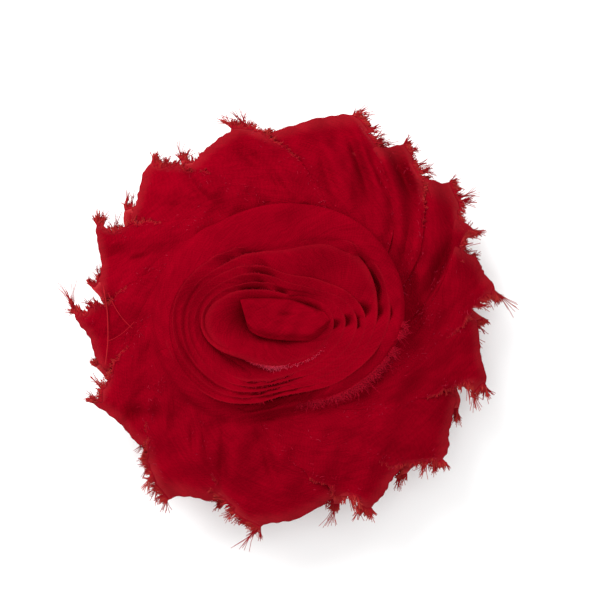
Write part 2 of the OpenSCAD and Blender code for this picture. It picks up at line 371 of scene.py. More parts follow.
# Hollows pressed into the petals: place, half length and half width, direction of the length, and depth
HOLLOWS = [
    (-5.6, 25.8, 2.6, 1.2, -40, 2.0), (-1.5, 22.0, 2.6, 0.6, -58, 0.9), (11.6, 25.3, 5.0, 0.8, -72, 1.9),
    (14.4, 24.0, 4.5, 0.7, -66, 1.2), (18.6, 23.4, 4.2, 1.3, -62, 3.2), (6.2, 24.5, 4.0, 0.8, -72, 0.9),
    (-27.0, 10.4, 2.4, 1.3, 10, 1.5), (-23.4, 9.6, 1.7, 0.6, 15, 0.9), (-23.4, -15.0, 1.9, 1.4, 0, 1.8),
    (-20.2, -15.0, 0.9, 1.5, 20, 1.4), (-14.0, 20.5, 3.2, 0.7, -50, 1.2), (19.9, 2.0, 2.0, 5.5, 8, 3.2),
    (24.0, 8.0, 6.5, 1.0, 62, 1.5), (21.5, -9.5, 4.5, 1.2, 38, 1.0), (-9.8, -22.5, 4.6, 0.8, 88, 1.2),
    (-2.6, -22.5, 4.2, 0.9, -72, 1.3), (-14.6, -19.1, 3.0, 0.5, -87, 0.8), (0.0, -14.5, 7.0, 0.8, 12, 2.8)]


def ground(x, y):
    """Slow rise and fall that all the layers of the petals share, with the hollows pressed into it."""
    height = 0.5 * ripple(x, y, 9.0, 61) + 0.2 * ripple(x, y, 3.6, 62, 14) + 0.06 * ripple(x, y, 1.5, 63, 14)
    # The flower hangs a little towards +X, where it is also more uneven
    height = height - 3.4 * smooth(12, 38, x) + 0.25 * ripple(x, y, 5.0, 64) * smooth(4, 16, x)
    for place_x, place_y, length, width, direction, depth in HOLLOWS:
        a = math.radians(direction)
        along = (x - place_x) * math.cos(a) + (y - place_y) * math.sin(a)
        across = (y - place_y) * math.cos(a) - (x - place_x) * math.sin(a)
        height = height - depth * np.exp(-(along / length) ** 2 - (across / width) ** 2)
    return height


def row_height(r):
    """Mean height of the outer row at radius r: it swells a little, then falls away to the rim."""
    out = (r - PETAL_INNER_R) / (PETAL_OUTER_R - PETAL_INNER_R)
    swell = 0.8 * np.sin(math.pi * np.clip(out, 0, 1) ** 0.8)
    return NET_TOP + 7.7 + swell - 3.5 * np.clip(out, 0, 1.2) ** 1.6


def petal_height(r, s, t, petal, phase):
    """Height of a petal's top layer: high along its raw side, and low where the next petal covers it."""
    lift = mix(0.10, 0.75, smooth(0.45, 0.95, t))
    tilt = s - 0.35 - 1.8 * (1 - smooth(0, 0.35, s))
    if petal == FOLD_OVER:
        tilt = mix(1.0, 0.3, smooth(0, 0.5, s)) + 0.25 * s
    pleats, depth = PETALS[petal][4:]
    wave = np.sin(2 * math.pi * pleats * s + phase + 1.1 * np.sin(3 * t))
    inside = smooth(0.05, 0.35, s) * (1 - smooth(0.75, 1.0, s)) * smooth(0.05, 0.5, t)
    return row_height(r) + lift * tilt + depth * wave * inside


def cloth_coordinates(points, width, bias):
    """Place on the flat cloth of a grid's points, in millimetres, with the weave turned by bias degrees."""
    step = np.linalg.norm(np.diff(points, axis=1), axis=-1)
    v = np.concatenate([np.zeros((len(points), 1)), np.cumsum(step, 1)], 1)
    u = np.broadcast_to(width, v.shape)
    c, d = math.cos(math.radians(bias)), math.sin(math.radians(bias))
    return np.stack([u * c - v * d, u * d + v * c], -1)


def folded_hem(top, at, s):
    """The rim rolled over, and the cloth folded back under the petal. at(s, t) gives the petal's points."""
    roll = np.radians([36, 72, 108, 144, 180])
    gap = mix(0.5, 0.12, smooth(0.75, 1, s))
    outward = unit(top[:, -1] - top[:, -2])[:, None]
    rolled = top[:, -1:] + outward * (gap / 2 * np.sin(roll))[..., None]
    rolled[..., 2] -= gap / 2 * (1 - np.cos(roll))
    back = np.linspace(1, 0.55, 9)[None, 1:]
    under = at(s, back)[0]
    under[..., 2] -= gap + 0.25 * (1 - back)
    return [rolled, under]


def petal_row(shrink, drop, turn, inner_r, root_z, seed, painted_sheer, fold_back):
    """One gathered row of petals. It reaches shrink less far than PETALS says, lies drop lower, is turned by
    turn and climbs from root_z. painted_sheer says how much painted light its single layers get at the raw
    sides and rim, and fold_back turns its rim under. Returns its cloth, and for each petal the raw side that
    its threads grow from."""
    cloth, raw_sides = Piece(), []
    s = np.linspace(0, 1, 60)[:, None]           # from a petal's folded side to its raw side
    t = np.linspace(0, 1, 46)[None, :]           # from the gathering out to the rim
    for i, (corner, reach, sweep, lean, _, _) in enumerate(PETALS):
        corner = corner + turn
        before, _, sweep_before, lean_before, _, _ = PETALS[i - 1]
        before = before + turn + (360 if i == 0 else 0)
        over = i == FOLD_OVER and fold_back
        tip_r = CORNER_R + reach - shrink
        notch_r = NOTCH_R + (2.5 if over else 0) - shrink
        rng = np.random.default_rng(seed + i)
        phase, bias, bend, bay = (rng.uniform(*span) for span in ((0, 6.28), (25, 65), (1.5, 4), (0, 1)))

        def at(s, t):
            """Points of the petal's top layer, and their directions. The folded side follows start, the raw
            side follows raw with tatters torn out of it, and the rim rises to the corner."""
            start = before - sweep_before * (1 - t) ** lean_before + (-4.5 if over else mix(8.0, -0.5, t))
            raw = corner - sweep * (1 - t) ** lean
            rise = mix(1 - (1 - s) ** 3, s ** bend, 0.5)
            rim = mix(notch_r, tip_r, rise) - 0.5 * bay * np.exp(-((s - 0.72) / 0.13) ** 2)
            waver = 0.3 * np.sin(9 * s + i) + 0.12 * ripple(s * 13, 0 * s + i, 1.5, seed + 90)
            rim = rim + waver * smooth(1, 0.9, s)
            r = inner_r + (rim - inner_r) * t
            tatters = (1.3 * ripple(t * 18, 0 * t, 2.6, seed + 150 + i)
                       + 0.9 * ripple(t * 18, 0 * t, 0.8, seed + 170 + i))
            deg = start + (raw - start) * s + tatters * smooth(0.9, 1, s) * smooth(0.2, 0.8, t)
            z = petal_height(r, s, t, i, phase) - drop
            x, y = r * np.cos(np.radians(deg)), r * np.sin(np.radians(deg))
            return polar(r, deg, z + ground(x, y)), deg

        top, deg = at(s, t)
        foot = polar(inner_r - 1.8, deg[:, :1], root_z)
        climb = np.linspace(0, 1, FOOT_ROWS + 1)[None, :-1, None]
        rows = [foot + (top[:, :1] - foot) * climb, top]
        if fold_back:
            rows += folded_hem(top, at, s)
        points = np.concatenate(rows, 1)
        hem_rows = points.shape[1] - FOOT_ROWS - t.size
        rows_t = np.concatenate([np.zeros(FOOT_ROWS), t[0], np.ones(hem_rows)])[None]
        # Painted light: the colour lightens along the outer raw side and at the rim, for light coming through
        # the single layer there
        raw_side_light, rim_edge_light = smooth(0.9, 1, s) * smooth(0.66, 0.95, rows_t), 0.5 * smooth(0.9, 1, rows_t)
        painted_light = np.maximum(raw_side_light, rim_edge_light) * painted_sheer
        width = s * math.radians(before - corner) * PETAL_MIDDLE_R
        cloth.grid(points, cloth_coordinates(points, width, bias) + CLOTH_STEP * i, painted_light)
        raw_sides.append({"line": top[-1], "aside": unit(top[-1] - top[-3]),
                          "along": unit(np.gradient(top[-1], axis=0))})
    return cloth, raw_sides


def on_side(side, places):
    """Points at distances places along a raw side, and the directions away from its cloth and along it."""
    total = arc_length(side["line"])[:, 0]
    index = np.interp(places, total, np.arange(len(total)))
    i = index.astype(int).clip(0, len(total) - 2)
    f = (index - i)[:, None]
    return [mix(side[key][i], side[key][i + 1], f) for key in ("line", "aside", "along")]


def fray(raw_sides, clumps, tassels, seed, reach=1.0):
    """Threads along the outer part of raw petal sides. They cling together in small clumps, a number for each
    millimetre, whose tips meet, and in longer tassels near the corner."""
    rng = np.random.default_rng(seed)
    piece = Piece()
    for side in raw_sides:
        length = arc_length(side["line"])[-1, 0]
        lean, tassel_lean = rng.normal(0.2, 0.25), rng.normal(0.7, 0.4)
        for k in range(int(length * clumps) + tassels):
            tassel = k < tassels
            place = length * (1 - (0.2 if tassel else 0.5) * rng.uniform(0, 1) ** (1.2 if tassel else 2.8))
            strands = int(rng.integers(5, 12) if tassel else rng.integers(4, 8))
            root, aside, along = on_side(side, np.clip(place + rng.normal(0, 0.28, strands), 0, length))
            outer_part = smooth(0.5, 0.85, place / length)
            size = rng.gamma(4, 0.42) + 0.8 if tassel else rng.gamma(5, 0.15) * mix(0.35, 1.15, outer_part)
            swing = rng.normal(tassel_lean, 0.18) if tassel else rng.normal(lean, 0.4)
            heading = unit(aside.mean(0) + along.mean(0) * swing + [0, 0, rng.normal(0, 0.2)])
            tip = root.mean(0) + heading * size * reach + rng.normal(0, 0.07, (strands, 3))
            start = root - aside * 0.3
            sizes = np.linalg.norm(tip - start, axis=1) * rng.uniform(0.75, 1.05, strands)
            paths = fibres(start, tip - start, sizes, 0.03, droop=0.1, curl=0.2 if tassel else 0.1)
            # Painted light: tips lighten towards the fray's orange sheer colour, more on the outer part, for
            # light coming through the threads
            painted_tip_light = rng.uniform(0.1, 0.8) * mix(0.4, 1, outer_part)
            piece.tubes(paths, mix(*FRAY_R, ALONG), painted_light=painted_tip_light * ALONG[None])
    return piece


def fluff(raw_sides, count, seed):
    """Short pale fluff strewn along the whole of each raw side, count to a millimetre, some with painted
    glints at its tips.
    """
    rng = np.random.default_rng(seed)
    piece = Piece()
    for side in raw_sides:
        length = arc_length(side["line"])[-1, 0]
        n = int(length * count)
        root, aside, along = on_side(side, length * rng.uniform(0.08, 0.92, n))
        start = root + aside * rng.normal(-0.5, 1.0, (n, 1)) + [0, 0, 0.05]
        heading = along * rng.normal(0, 1, (n, 1)) + aside * rng.normal(0.2, 0.5, (n, 1)) + [0, 0, 0.25]
        paths = fibres(start, heading, rng.gamma(3, 0.1, n), 0.3)
        # Painted glints: some fluff tips are lifted towards the pale pink sheer colour
        piece.tubes(paths, mix(*FLUFF_R, ALONG), painted_light=rng.uniform(0.0, 0.5, (n, 1)) ** 1.5)
    return piece


outer, outer_sides = petal_row(shrink=0.0, drop=0.0, turn=0, inner_r=PETAL_INNER_R, root_z=NET_TOP + 0.9,
                               seed=100, painted_sheer=0.45, fold_back=True)
outer_fray = fray(outer_sides, clumps=4.2, tassels=6, seed=200)
outer_fluff = fluff(outer_sides, count=3.5, seed=220)
under, under_sides = petal_row(shrink=2.2, drop=2.4, turn=-9, inner_r=PETAL_INNER_R - 1,
                               root_z=NET_TOP + 0.25, seed=300, painted_sheer=1.0, fold_back=False)
under_fray = fray(under_sides, clumps=3.0, tassels=3, seed=400, reach=0.9)


# -------------------- rosette

# Reach of each lip of the rosette every 45 degrees from +X, from the innermost out.
# The first is the outline of the centre fold and the last is the folded rim.
LIPS = np.array([
    (6.2, 3.6, 2.7, 4.4, 6.7, 4.6, 3.6, 4.4),
    (7.4, 4.8, 3.7, 6.2, 12.4, 9.0, 7.2, 7.2),
    (9.2, 5.5, 4.7, 7.8, 13.6, 12.6, 9.1, 8.8),
    (11.0, 6.3, 5.6, 9.4, 14.7, 13.8, 9.9, 10.2),
    (12.4, 8.0, 6.8, 11.0, 15.8, 14.9, 10.7, 11.4),
    (14.2, 14.4, 10.6, 12.4, 16.8, 16.0, 11.5, 12.4),
    (16.2, 15.8, 11.4, 14.2, 18.2, 17.3, 12.3, 13.4),
    (18.5, 18.8, 17.9, 18.3, 20.0, 18.9, 13.8, 15.3)])
RIM = len(LIPS) - 1
STRIP_TURNS = RIM - 1
STEP_IN = (150, 230)             # the strip steps in to its next turn between these directions
LIP_TOP = TOP - 0.4
LIP_STEP = 0.34                  # how much lower each lip is than the next one out
UPPER_SLITS, LOWER_SLITS = 128, 255      # where slits open between the turns
LIT_LIP = 280                    # where the innermost lip catches the light
# Shares of the way in from a lip to the next one, and a little beyond, at which the strip has points
STRIP_ROWS = np.array([-0.06, 0, 0.06, 0.14, 0.24, 0.36, 0.5, 0.64, 0.78, 0.9, 1.0, 1.12, 1.25])[None]
# Where a dark gap opens inside a lip: lip, direction, half width in degrees, depth.
# One narrower than NARROW is broken up along the lip, and one wider than WIDE has a flat floor.
NARROW, WIDE = 36, 50
GAPS = [
    (1, 188, 58, 2.2), (1, 262, 60, 0.8), (2, 356, 12, 1.7), (2, 100, 22, 0.9), (2, 136, 26, 1.0),
    (2, 216, 56, 2.3), (3, 357, 7, 1.3), (3, 130, 16, 0.8), (3, 255, 30, 0.7), (4, 358, 9, 1.4),
    (4, 122, 24, 1.0), (4, 260, 36, 0.8), (5, 6, 7, 1.4), (5, 38, 44, 0.8), (5, 250, 28, 0.8),
    (5, 112, 14, 0.6), (6, 22, 29, 2.9), (6, 125, 26, 0.9), (6, 264, 34, 0.7), (6, 5, 5, 1.3)]
# Soft valleys on the left, where the turns are pressed together: lip, direction, half width, depth
VALLEYS = [(3, 190, 50, 0.35), (5, 205, 60, 0.8), (6, 215, 50, 0.5)]
# Where a turn bends down towards its own lip, so that the next turn out stands above it
DIPS = [(5, 30, 34, 0.8)]


def ring(k, deg):
    """Point on lip number k, which may lie between two lips, in direction deg. Between the directions in LIPS
    the reach follows a smooth curve through its neighbours."""
    low = np.floor(k).astype(int).clip(0, RIM - 1)
    place = np.asarray(deg) / 45
    side = np.floor(place).astype(int)
    f = place - side

    def reach(lip):
        a, b, c, d = (LIPS[lip, (side + i) % 8] for i in (-1, 0, 1, 2))
        return b + f * ((c - a) / 2 + f * (a - 2.5 * b + 2 * c - d / 2 + f * (1.5 * (b - c) + (d - a) / 2)))

    r = mix(reach(low), reach(low + 1), k - low)
    return polar(r, deg, 0 * r)[..., :2]


def near(deg, centre, width):
    """1 in direction centre, falling to 0 at width degrees either side."""
    return 1 - smooth(0, width, np.abs((deg - centre + 180) % 360 - 180))


def turn_ripple(flat):
    """The slow waves that all the turns share, so that they meet where they are pressed together."""
    return 0.25 * ripple(flat[..., 0], flat[..., 1], 6.0, 9)


def hollow(k, deg, lip, centre, width, depth):
    """How much of a lip's hollow there is at turn k in direction deg."""
    return depth * near(deg, centre, width) * (1 - np.abs(k - lip)).clip(0, 1)


def strip_hollows(k, deg, m, arc, innermost):
    """Depth of all gaps, valleys and dips of the strip, at shares m of the way in from its lip."""
    total = 0
    for lip, centre, width, depth in GAPS:
        broken = (1 + 0.75 * ripple(arc, 7 * k, 3.0, 14) * (width < NARROW)).clip(0, 2)
        wall = smooth(0, 0.4 if width > WIDE else 0.9, m)
        profile = wall * (1 - innermost) + innermost * m.clip(0, 2) ** 2.0
        total = total + hollow(k, deg, lip, centre, width, depth) * broken * profile
    for valley in VALLEYS:
        total = total + hollow(k, deg, *valley) * np.sin(math.pi * m.clip(0, 1)) ** 2
    for dip in DIPS:
        total = total + hollow(k, deg, *dip) * (1 - smooth(0, 0.5, m))
    return total


def rosette_strip():
    """One gathered strip wound inwards, raw edge up. Returns its cloth and what its threads grow from."""
    deg = np.arange(STEP_IN[0], STEP_IN[1] + 360 * STRIP_TURNS + 0.1, 1.4)[:, None]
    turn = np.minimum((deg - STEP_IN[1]) // 360, STRIP_TURNS - 1)
    step = smooth(*STEP_IN, deg - 360 * (turn + 1))
    last = turn == STRIP_TURNS - 1
    k = RIM - 1 - turn - step * ~last
    lip, below = ring(k, deg), ring(k - 1, deg)
    arc = arc_length(lip[:, 0])
    gap = np.linalg.norm(below - lip, axis=-1)
    out = unit(lip - below)
    m = STRIP_ROWS
    # Each turn steps down evenly to the next where they are pressed together, and falls away elsewhere
    pressed = 0.97 - 0.3 * near(deg, UPPER_SLITS, 36) - 0.3 * near(deg, LOWER_SLITS, 36)
    innermost = 1 - smooth(1.0, 1.4, k)
    uneven = 1 + 0.6 * ripple(arc, 29 * k, 7.0, 12)
    deep = mix(0.75 * uneven.clip(0.2, 2.5) + 0.25 * smooth(2.5, 5, gap), LIP_STEP - 0.01, pressed)
    deep = mix(deep, 0.5, innermost)
    plain = mix(1, 0.3, 1 - smooth(1.2, 2.0, k))
    frill = ripple(arc, 31 * k, 4.6, 5) * 0.2 + ripple(arc, 17 * k, 1.7, 6) * 0.1
    frill = frill * mix(1, 0.02, pressed) * plain
    # The strip starts tucked under the rim
    start = (k - RIM + 1).clip(0, 1)
    lip_z = LIP_TOP - LIP_STEP * (RIM - 1 - k) - 0.05 * (start > 0) + frill
    lip_z = lip_z + 0.5 * near(deg, 80, 70) * near(k, 3, 2.2)
    flat = lip + (below - lip) * m[..., None]
    flat = flat + out * (frill * gap.clip(0.8, 2.0) * mix(1.0, 0.3, m.clip(0, 1)))[..., None]
    z = lip_z - deep * m.clip(0, 2) ** mix(1.1, 2.4, innermost) - strip_hollows(k, deg, m, arc, innermost)
    z = z - 1.25 * (start - m).clip(0, 1) - 0.5 * last * step - 0.07 * smooth(1, 1.25, m) + turn_ripple(flat)
    top = np.concatenate([flat, z[..., None]], -1)
    # From under the next lip it goes steeply down to the net
    foot_r = (1.9 * k - 1.6).clip(0.3, 12)
    foot = np.concatenate([0.4 * (ring(k, 0) + ring(k, 180)) / 2, np.full(k.shape + (1,), NET_TOP + 0.3)], -1)
    foot = foot + polar(foot_r, deg, 0 * deg)
    q = np.linspace(0, 1, 6)[None, 1:, None]
    points = np.concatenate([top, top[:, -1:] + (foot - top[:, -1:]) * q], 1)
    # Painted light: a faint lightening along the raw lip, for light through its single layer
    lip_painted_light = 0.06 * (1 - smooth(0, 0.2, np.concatenate([m[0], np.ones(5)])))
    cloth = Piece()
    cloth.grid(points, cloth_coordinates(points, arc, 38), lip_painted_light[None])
    return cloth, points[:, 0], out[:, 0], deg[:, 0], k[:, 0]


def rosette_fray(lip, out, deg, k, count=9000):
    """Threads along the strip's raw lip, longest on the lower side of the innermost turn, where they also get
    a painted highlight.
    """
    rng = np.random.default_rng(31)
    index = rng.uniform(0, len(lip) - 1.001, count)
    grown = np.maximum(near(deg, UPPER_SLITS, 50), near(deg, 262, 80))
    grown = grown + 2 * (k < 1.3) * near(deg, LIT_LIP, 70)
    index = index[rng.uniform(0, 1, count) < 0.06 + grown[index.astype(int)]]
    n = len(index)
    i = index.astype(int)
    root = mix(lip[i], lip[i + 1], (index - i)[:, None])
    along = unit(lip[i + 1] - lip[i])
    # Where the innermost lip catches the light its threads are longer and thicker and get a painted highlight
    lit_lip_share = (1 - smooth(1.0, 1.3, k[i])) * np.clip(1.6 * near(deg[i], LIT_LIP, 66), 0, 1)
    tufts = 0.5 + 0.5 * ripple(index * 0.2, k[i] * 9, 2.4, 33).clip(-1, 1)
    side = np.concatenate([out[i], (0.35 + 0.2 * lit_lip_share)[:, None]], 1)
    slits = np.maximum(near(deg[i], UPPER_SLITS, 36), near(deg[i], LOWER_SLITS, 40))
    size = rng.gamma(2.6, 0.11, n) * (0.15 + 0.7 * tufts * slits) + 0.1 + lit_lip_share * rng.uniform(0.3, 0.9, n)
    heading = side + along * rng.normal(0, 0.5, (n, 1)) * mix(1, 0.6, lit_lip_share)[:, None]
    piece = Piece()
    piece.tubes(fibres(root - side * 0.12, heading, size, 0.14, droop=0.2),
                mix(*LIP_R, ALONG) * (1 + 1.0 * lit_lip_share)[:, None],
                painted_light=(0.04 + 0.4 * lit_lip_share)[:, None] * ALONG ** 0.5)
    return piece


def rosette_rim():
    """The outermost, folded turn: a smooth roll that overhangs on the right and meets the petals on the left.
    Returns its cloth and what its threads grow from."""
    deg = np.linspace(-165, 195, 361)[:, None]
    inner, crest = ring(np.full_like(deg, RIM - 1), deg), ring(np.full_like(deg, RIM), deg)
    flush = np.clip(near(deg, 225, 145) * 2.4, 0, 1)
    sunk = np.clip(1.6 * near(deg, 262, 44), 0, 1)
    arc = arc_length(crest[:, 0])
    m = np.array([-0.3, -0.15, 0, 0.12, 0.25, 0.4, 0.55, 0.7, 0.82, 0.92, 1.0])[None]
    top_z = TOP - 0.1 - 0.9 * flush - 0.3 * near(deg, -30, 60) + 0.2 * ripple(arc, 0 * arc, 14, 20)
    top_z = top_z - 1.7 * sunk
    low_z = LIP_TOP - 0.1 + 0.08 * flush - 2.6 * sunk - 1.6 * near(deg, 2, 5)
    rolled = np.sin(math.pi / 2 * smooth(-0.45, 0.8, m))
    z = mix(low_z, top_z, mix(rolled, m.clip(0, 1), flush)) - 0.3 * smooth(0.8, 1.0, m) * (1 - flush)
    z = z - 1.3 * smooth(0.02, 0.3, -m)
    flat = mix(inner, crest, m[..., None])
    joined = flush * (1 - smooth(0, 0.5, m))
    own_ripple = 0.14 * ripple(arc, m * 6, 7, 21) + 0.05 * ripple(arc, m * 6, 2.2, 22)
    z = z + mix(own_ripple, turn_ripple(flat), joined)
    top = np.concatenate([flat, z[..., None]], -1)
    # Beyond the crest it tucks under itself where it overhangs, and lies down on the petals where it is flush
    q = np.array([0.05, 0.12, 0.22, 0.35, 0.5, 0.66, 0.83, 1.0])[None]
    tuck = crest + unit(crest) * (0.25 * np.sin((q * 9).clip(0, math.pi)) - 3.0 * q ** 1.3)[..., None]
    lay = crest + unit(crest) * (4.0 * q)[..., None]
    lay_z = row_height(np.linalg.norm(lay, axis=-1)) + ground(lay[..., 0], lay[..., 1])
    lay_z = mix(z[:, -1:], lay_z + 0.45 - 0.75 * q ** 0.7, smooth(0, 0.35, q))
    wall_z = mix(z[:, -1:] - 0.25 - 3.4 * q, lay_z, flush)
    wall = np.concatenate([mix(tuck, lay, flush[..., None]), wall_z[..., None]], -1)
    points = np.concatenate([top, wall], 1)
    cloth = Piece()
    cloth.grid(points, cloth_coordinates(points, arc, 26))
    return cloth, top[:, -2], crest[:, 0], deg[:, 0]


def rim_threads(line, crest, deg, n=2600):
    """Threads just inside the rim's crest, which is raw at the lower right."""
    rng = np.random.default_rng(41)
    raw = np.flatnonzero(near(deg, -42, 55) > rng.uniform(0, 1, len(deg)))
    i = rng.choice(raw, n).clip(0, len(deg) - 2)
    root = mix(line[i], line[i + 1], rng.uniform(0, 1, (n, 1)))
    heading = np.concatenate([unit(crest[i]), np.full((n, 1), 0.1)], 1)
    heading = heading + rng.normal(0, 0.35, (n, 3)) * [1, 1, 0.3]
    paths = fibres(root - 0.15 * heading, heading, rng.gamma(2.6, 0.24, n) + 0.2, 0.2)
    piece = Piece()
    # Painted light: the tips lighten slightly towards the pale pink sheer colour
    piece.tubes(paths, mix(*RIM_R, ALONG), painted_light=0.07 * ALONG[None])
    return piece


def centre_fold():
    """The strip's last fold: a small bright pocket, straight along its upper side and rolled under below."""
    u = np.linspace(0, 1, 70)[:, None]
    v = np.linspace(0, 1, 30)[None]
    upper = np.stack([mix(-7.2, 6.0, u), 2.75 - 1.9 * smooth(0.55, 1.0, u) + 0.07 * np.sin(7 * u)], -1)
    lower = np.stack([mix(-6.3, 7.2, smooth(-0.03, 1.05, u)),
                      -3.7 + 3.1 * (1 - u) ** 5 + 3.0 * smooth(0.66, 1.0, u)], -1)
    flat = mix(upper, lower, v[..., None])
    x, y = flat[..., 0], flat[..., 1]
    crown = 0.35 * np.sin(math.pi * (v * 0.75 + 0.1)) - 0.9 * smooth(0.8, 1.0, v) ** 1.6
    crown = crown - 0.7 * smooth(0.85, 1, u)
    dents = 0.14 * ripple(x, y * 2.0, 3.0, 3)
    dents = dents - 0.4 * np.exp(-((x + 0.2) / 1.6) ** 2 - ((y - 0.3) / 0.35) ** 2)
    face = np.concatenate([flat, (TOP - 1.6 + crown + dents + 0.2 * u)[..., None]], -1)
    face[..., 2] -= 0.07 * y
    roll = np.array([0.1, 0.25, 0.45, 0.7, 1.0])[None]
    under_lower = [0 * roll, 1.4 * roll ** 1.5 - 0.12 * np.sin(roll * math.pi), -0.15 - 4.2 * roll]
    under_upper = [0 * roll, 0.9 * roll, -0.1 - 3.5 * roll ** 1.4]
    front, back = face[:, -1:] + np.stack(under_lower, -1), face[:, :1] + np.stack(under_upper, -1)
    points = np.concatenate([back[:, ::-1], face, front], 1)
    cloth = Piece()
    cloth.grid(points, cloth_coordinates(points, u * 13, 37))
    return cloth


# Long light threads that lie across the petals on the left: start, middle, end and radius
LOOSE_THREADS = [((-28.8, 5.0), (-27.5, -1.0), (-28.4, -7.2), 0.12),
                 ((-28.0, 4.0), (-26.6, 0.4), (-24.2, -1.6), 0.08),
                 ((-28.2, -3.6), (-25.6, -2.8), (-23.8, -0.6), 0.07)]


def loose_threads():
    piece = Piece()
    u = np.linspace(0, 1, 24)[:, None]
    for start, middle, end, radius in LOOSE_THREADS:
        flat = (1 - u) ** 2 * np.array(start) + 2 * u * (1 - u) * np.array(middle) + u ** 2 * np.array(end)
        over = row_height(np.linalg.norm(flat, axis=1)) + ground(flat[:, 0], flat[:, 1]) + 0.75
        # Painted light: each thread is lifted towards the fray's lighter tip colour by an amount equal to its
        # radius
        piece.tubes(np.concatenate([flat, over[:, None]], 1)[None], radius, sides=6, painted_light=radius)
    return piece


strip_cloth, *strip_edge = rosette_strip()
strip_fray = rosette_fray(*strip_edge)
rim_cloth, *rim_edge = rosette_rim()
rim_fray = rim_threads(*rim_edge)

outer_obj = outer.build("outer_petals", CHIFFON, slot="chiffon", replaces=["outer_ruffle"])
outer_fray_obj = outer_fray.build("outer_petals_fray", FRAY, slot="chiffon")
outer_fluff_obj = outer_fluff.build("outer_petals_fluff", PALE_GLINT_FRAY, slot="chiffon")
under_obj = under.build("under_petals", CHIFFON, slot="chiffon", replaces=["under_ruffle"])
under_fray_obj = under_fray.build("under_petals_fray", FRAY, slot="chiffon")
strip_obj = strip_cloth.build("rosette_swirl", CHIFFON, slot="chiffon", replaces=["rosette_strip"])
strip_fray_obj = strip_fray.build("rosette_swirl_fray", PALE_GLINT_FRAY, slot="chiffon")
rim_obj = rim_cloth.build("rosette_rim", CHIFFON, slot="chiffon")
rim_fray_obj = rim_fray.build("rosette_rim_fray", PALE_GLINT_FRAY, slot="chiffon")
bud_obj = centre_fold().build("centre_fold", CHIFFON, slot="chiffon", replaces=["centre_bud"])
loose_obj = loose_threads().build("loose_threads", FRAY, slot="chiffon")


# -------------------- backing and clip

JAW_Z = 4.3                      # underside of the fixed jaw
JAW_T = 0.7                      # its sheet
JAW_BEND_X = FELT_R + 0.5
TAIL_SLOPE = math.tan(math.radians(22))
COIL_HALF_W = 2.2


def felt_disc():
    """The felt disc, with a slightly uneven scissor-cut edge."""
    low, high = FELT_LOW[2], FELT_HIGH[2]
    a = np.linspace(0, 2 * math.pi, 240, endpoint=False)[None]
    cut = FELT_R - 0.12 + 0.1 * np.sin(5 * a + 1) * np.sin(2 * a)
    cut = cut + 0.05 * ripple(30 * np.cos(a), 30 * np.sin(a), 2, 71)
    face = np.linspace(0.005, 0.985, 16)
    edge = np.array([1.0, 1.004, 1.004, 1.0])
    edge_z = mix(high - 0.12, low + 0.12, np.linspace(0, 1, len(edge)))
    r = cut * np.concatenate([face, edge, face[::-1]])[:, None]
    z = np.concatenate([np.full(len(face), high), edge_z, np.full(len(face), low)])[:, None]
    x, y = r * np.cos(a), r * np.sin(a)
    z = z + 0.05 * ripple(x, y, 1.2, 72) * np.where(z > (low + high) / 2, -1, 1)
    cloth = Piece()
    cloth.grid(np.stack([x, y, z], -1), np.stack([x, y], -1), wrap=True)
    return cloth


def felt_fuzz(n=5200):
    """Fuzz on the felt, half of it round the edge and half on the underside."""
    low, high = FELT_LOW[2], FELT_HIGH[2]
    rng = np.random.default_rng(73)
    at_edge = np.arange(n) < n // 2
    angle = rng.uniform(0, 360, n)
    radius = np.where(at_edge, FELT_R - 0.1, FELT_R * np.sqrt(rng.uniform(0, 0.97, n)))
    height = np.where(at_edge, rng.uniform(low + 0.1, high - 0.1, n), low + 0.05)
    away = np.where(at_edge[:, None], polar(np.ones(n), angle, 0), np.array([0, 0, -0.25]))
    paths = fibres(polar(radius, angle, height), away, rng.gamma(3, 0.11, n), 0.55, droop=0, curl=0.8)
    piece = Piece()
    piece.tubes(paths, mix(*FUZZ_R, ALONG))
    return piece


def net_disc(pitch=1.0, strand=0.13):
    """Stiff net of two crossing sets of strands, cut to a disc."""
    piece = Piece()
    middle = (NET_LOW[2] + NET_HIGH[2]) / 2
    reach = NET_R - 0.15
    for over, direction in ((1, 45), (-1, 135)):
        a = math.radians(direction)
        along, across = np.array([math.cos(a), math.sin(a)]), np.array([-math.sin(a), math.cos(a)])
        for k in range(int(-reach / pitch), int(reach / pitch) + 1):
            half = math.sqrt(max(reach ** 2 - (k * pitch) ** 2, 0.5))
            d = np.linspace(-half, half, int(8 * half / pitch) + 2)
            wave = over * (-1) ** k * 0.05 * np.cos(math.pi * d / pitch)
            sway = 0.06 * ripple(d, 0 * d + 9 * k, 4, 81)
            flat = d[:, None] * along + (k * pitch + sway)[:, None] * across
            piece.tubes(np.concatenate([flat, (middle + wave)[:, None]], 1)[None], strand, sides=4)
    return piece


def stitches(count=28, length=3.0, ply=0.09, twist_rate=5.2):
    """Running stitches of two-ply thread that hold the last petal row to the net and go up through it."""
    piece = Piece()
    ring_r = (NET_R + FELT_R) / 2
    u = np.linspace(-1, 1, 30)
    z = NET_LOW[2] - 0.2 + 0.55 * np.abs(u) ** 7
    for k in range(count):
        a = math.radians(360 * k / count)
        jitter = 0.25 * math.sin(9.1 * k)
        for phase in (0, math.pi):
            twist = u * length / 2 * twist_rate + phase
            r = ring_r + ply * np.cos(twist) + jitter * u * 0.5
            sideways = u * length / 2 * (1 + 0.06 * math.sin(5 * k))
            x = r * math.cos(a) - sideways * math.sin(a)
            y = r * math.sin(a) + sideways * math.cos(a)
            piece.tubes(np.stack([x, y, z + ply * np.sin(twist)], -1)[None], 0.1, sides=6)
    return piece


